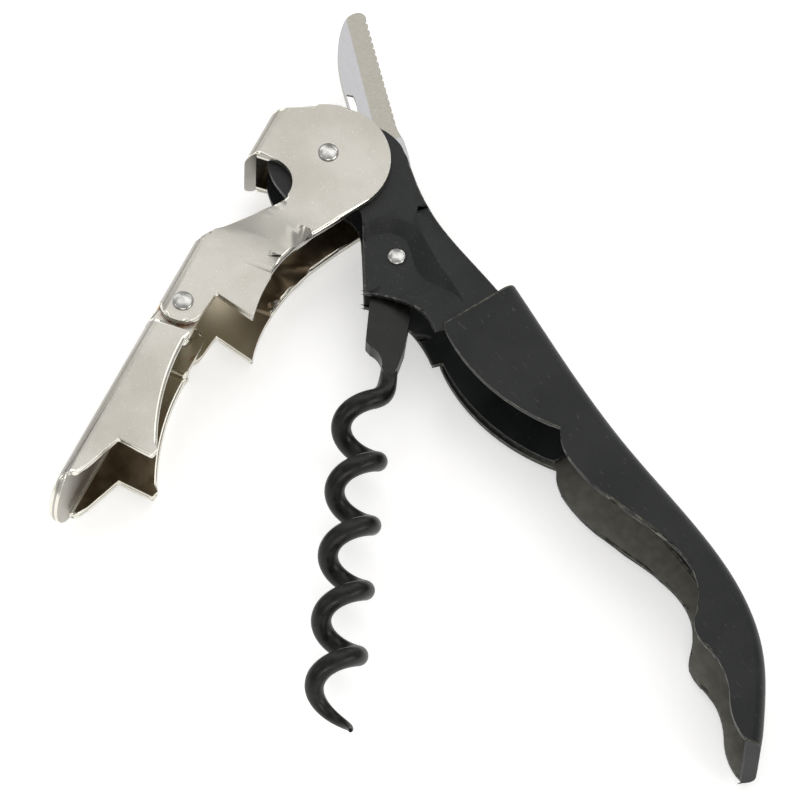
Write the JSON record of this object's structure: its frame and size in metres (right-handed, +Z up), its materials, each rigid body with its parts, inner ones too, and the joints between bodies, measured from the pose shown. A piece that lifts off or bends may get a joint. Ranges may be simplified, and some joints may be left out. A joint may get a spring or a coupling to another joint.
{
  "type": "lever corkscrew",
  "caption": "Folding waiter's corkscrew: hinged double lever with cap opener, pivoting worm, serrated foil knife and scalloped channel handle.",
  "frame": {"origin": "Middle of the footprint at the lowest point, with the tool lying on its side, opened as at rest", "axes": "+X along the straight back of the handle towards its curled end, +Y towards the back of the handle, +Z up, along the rivets"},
  "size_m": [0.1274, 0.0808, 0.0134],
  "materials": {
    "nickel_plate": "satin nickel plate, bright rounded edges",
    "black_enamel": "fine matt black enamel on pressed steel",
    "sleeve_plastic": "satin black moulding",
    "worm_coating": "black non-stick coating, slightly glossy",
    "blade_steel": "flat-ground stainless steel with a brushed bevel",
    "rivet_steel": "domed bright steel",
    "spacer_nylon": "black nylon"
  },
  "bodies": {
    "handle": {"frame": "black_enamel", "handle_sleeve": "sleeve_plastic", "knife_rivet": "rivet_steel", "lever_spacer": "rivet_steel", "knife_spacers": "spacer_nylon"},
    "lever_pin": {"lever_rivet": "rivet_steel"},
    "lever": {"upper_lever": "nickel_plate", "link_rivet": "rivet_steel"},
    "link": {"lower_lever": "nickel_plate"},
    "worm_pin": {"worm_rivet": "rivet_steel"},
    "worm": {"worm": "worm_coating"},
    "knife": {"knife_blade": "blade_steel"}
  },
  "joints": [
    {"name": "lever_swing", "type": "hinge", "parent": "handle", "child": "lever", "pos_m": [-0.04414, 0.0213, 0.0067], "axis": [0, 0, 1], "range_deg": [-40, 58.5]},
    {"name": "lever_rivet_turn", "type": "hinge", "parent": "handle", "child": "lever_pin", "pos_m": [-0.04414, 0.0213, 0.0067], "axis": [0, 0, 1], "continuous": true},
    {"name": "link_swing", "type": "hinge", "parent": "lever", "child": "link", "pos_m": [-0.03451, -0.00925, 0.0067], "axis": [0, 0, -1], "range_deg": [-60, 0]},
    {"name": "worm_fold", "type": "hinge", "parent": "handle", "child": "worm", "pos_m": [-0.02626, 0.02039, 0.0067], "axis": [0, 0, 1], "range_deg": [-27.2, 39.78]},
    {"name": "worm_rivet_turn", "type": "hinge", "parent": "handle", "child": "worm_pin", "pos_m": [-0.02626, 0.02039, 0.0067], "axis": [0, 0, 1], "continuous": true},
    {"name": "knife_swing", "type": "hinge", "parent": "handle", "child": "knife", "pos_m": [-0.04014, 0.0274, 0.0067], "axis": [0, 0, -1], "range_deg": [-10, 156.8]}
  ],
  "couplings": [
    {"joint": "worm_fold", "follows": "lever_swing", "ratio": 0.68}
  ]
}
